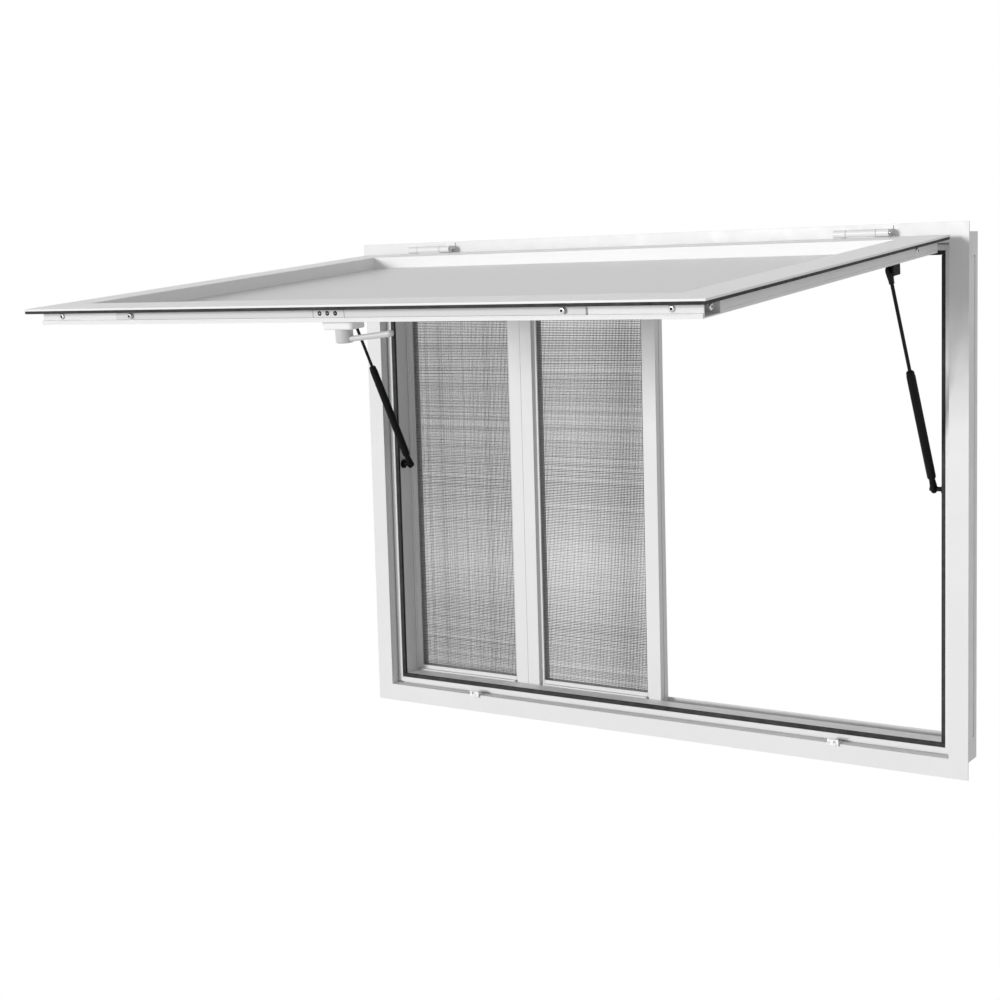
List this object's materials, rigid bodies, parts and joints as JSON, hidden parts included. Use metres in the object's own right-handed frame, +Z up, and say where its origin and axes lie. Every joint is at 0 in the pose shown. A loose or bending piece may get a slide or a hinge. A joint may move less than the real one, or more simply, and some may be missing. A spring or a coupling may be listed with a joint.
{
  "type": "concession window with awning and sliding insect screens",
  "caption": "Wall-mounted concession window: flanged frame, sliding insect screens, an awning hinged at the head, gas struts and an inside lever lock.",
  "frame": {"origin": "back face of the wall flange, at the middle of its lower strip", "axes": "+X to the right seen from outside, +Y into the wall, +Z up; the front faces -Y"},
  "size_m": [1.25, 1.0135, 0.942],
  "materials": {
    "white_frame": "satin white powder coat",
    "white_sheet": "gloss white sheet",
    "black_rubber": "matt black",
    "screen_mesh": "grey coated wire mesh",
    "black_steel": "semi gloss black",
    "bright_steel": "zinc plated",
    "white_handle": "smooth white"
  },
  "bodies": {
    "frame": {"frame_head": "white_frame", "frame_sill": "white_frame", "frame_jamb_left": "white_frame", "frame_jamb_right": "white_frame", "stop_seal": "black_rubber", "sill_keepers": "bright_steel", "front_sash_left": "white_frame", "front_sash_right": "white_frame", "rear_sash_left": "white_frame", "rear_sash_right": "white_frame", "front_mesh_left": "screen_mesh", "front_mesh_right": "screen_mesh", "rear_mesh_left": "screen_mesh", "rear_mesh_right": "screen_mesh", "hinge_frame_leaves": "white_frame", "hinge_pins": "bright_steel", "jamb_studs": "black_steel"},
    "awning": {"awning_skin": "white_frame", "awning_panel": "white_sheet", "awning_seal": "black_rubber", "awning_front_rail": "white_frame", "awning_hinge_rail": "white_frame", "awning_left_stile": "white_frame", "awning_right_stile": "white_frame", "hinge_awning_leaves": "white_frame", "awning_brackets": "black_steel", "lock_faceplate": "white_frame", "handle_base": "white_handle"},
    "lock_left": {"lock_bar_left": "white_frame", "lock_roller_left": "bright_steel"},
    "lock_right": {"lock_bar_right": "white_frame", "lock_roller_right": "bright_steel"},
    "handle": {"handle_lever": "white_handle"},
    "tube_left": {"strut_tube_left": "black_steel"},
    "tube_right": {"strut_tube_right": "black_steel"},
    "rod_left": {"strut_rod_left": "black_steel"},
    "rod_right": {"strut_rod_right": "black_steel"}
  },
  "joints": [
    {"name": "awning_hinge", "type": "hinge", "parent": "frame", "child": "awning", "pos_m": [0, -0.022, 0.9195], "axis": [1, 0, 0], "range_deg": [0, 85]},
    {"name": "handle_turn", "type": "hinge", "parent": "awning", "child": "handle", "pos_m": [0, -0.86483, 0.79818], "axis": [0, -0.0872, 0.9962], "range_deg": [0, 90]},
    {"name": "lock_slide_left", "type": "slide", "parent": "awning", "child": "lock_left", "axis": [-1, 0, 0], "range_m": [0, 0.016]},
    {"name": "lock_slide_right", "type": "slide", "parent": "awning", "child": "lock_right", "axis": [1, 0, 0], "range_m": [0, 0.016]},
    {"name": "strut_turn_left", "type": "hinge", "parent": "frame", "child": "tube_left", "pos_m": [-0.553, 0.034, 0.484], "axis": [1, 0, 0], "range_deg": [-28, 0]},
    {"name": "strut_turn_right", "type": "hinge", "parent": "frame", "child": "tube_right", "pos_m": [0.553, 0.034, 0.484], "axis": [1, 0, 0], "range_deg": [-28, 0]},
    {"name": "strut_slide_left", "type": "slide", "parent": "tube_left", "child": "rod_left", "axis": [0, -0.4902, 0.8716], "range_m": [-0.153, 0]},
    {"name": "strut_slide_right", "type": "slide", "parent": "tube_right", "child": "rod_right", "axis": [0, -0.4902, 0.8716], "range_m": [-0.153, 0]}
  ],
  "couplings": [
    {"joint": "lock_slide_left", "follows": "handle_turn", "m_per_rad": 0.010185},
    {"joint": "lock_slide_right", "follows": "handle_turn", "m_per_rad": 0.010185},
    {"joint": "strut_turn_left", "follows": "awning_hinge", "ratio": -0.32611},
    {"joint": "strut_turn_right", "follows": "awning_hinge", "ratio": -0.32611},
    {"joint": "strut_slide_left", "follows": "awning_hinge", "m_per_rad": -0.10257},
    {"joint": "strut_slide_right", "follows": "awning_hinge", "m_per_rad": -0.10257}
  ]
}
